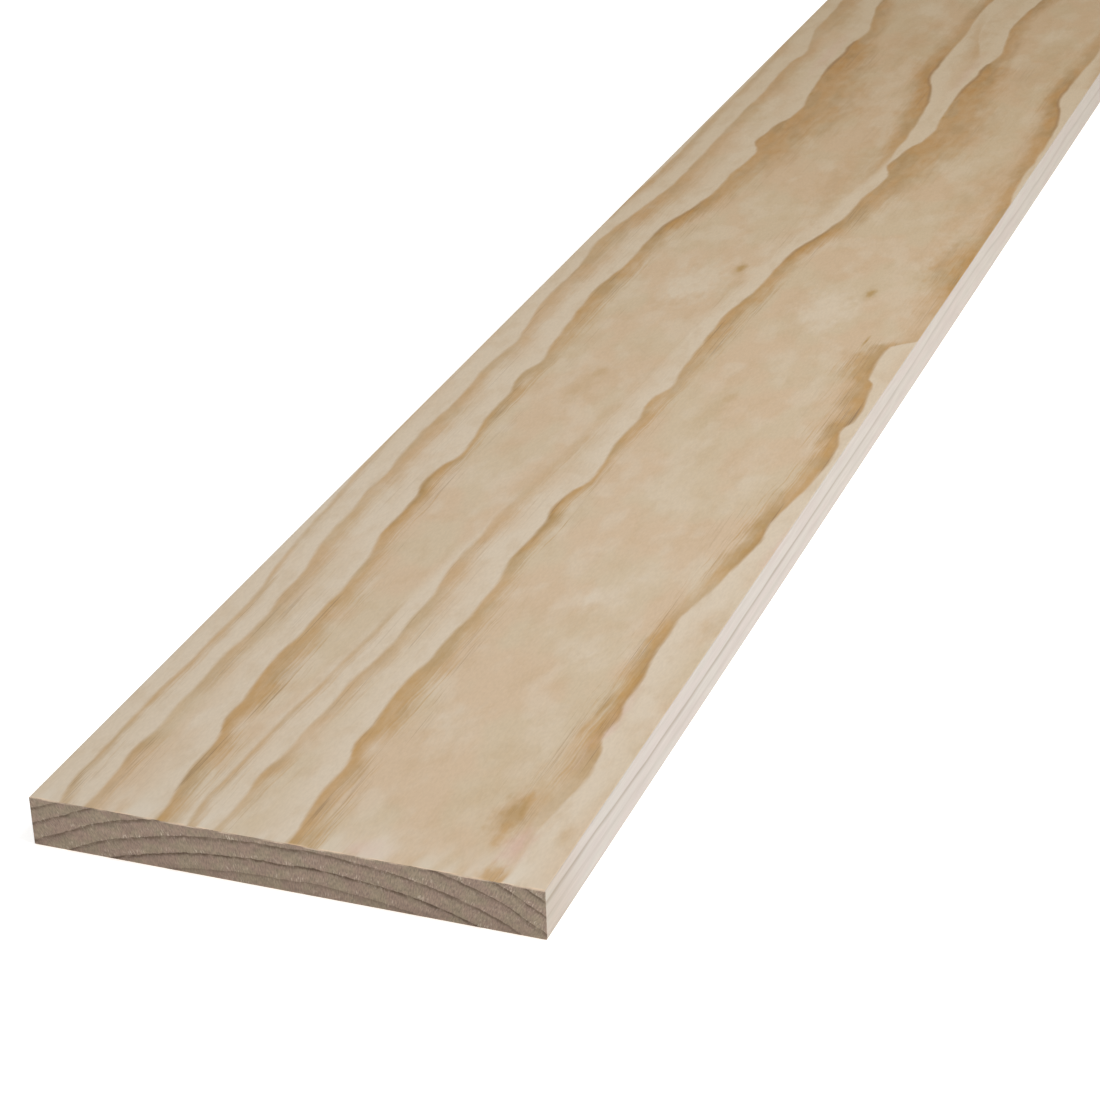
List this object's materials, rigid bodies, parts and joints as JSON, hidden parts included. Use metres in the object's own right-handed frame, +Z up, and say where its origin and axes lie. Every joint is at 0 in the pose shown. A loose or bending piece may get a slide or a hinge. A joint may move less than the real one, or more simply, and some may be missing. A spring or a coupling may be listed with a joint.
{
  "type": "pine board",
  "caption": "Straight flat-sawn pine board, planed on both faces and both edges and sawn square at each end, with lightly eased long corners.",
  "frame": {"origin": "centre of the underside, on the surface the board lies on", "axes": "+Z up through the thickness, +Y along the length and the grain, +X across the width"},
  "size_m": [0.19, 1.2, 0.019],
  "materials": {
    "planed_pine": "planed, bare"
  },
  "bodies": {
    "root": {"board": "planed_pine"}
  },
  "joints": []
}
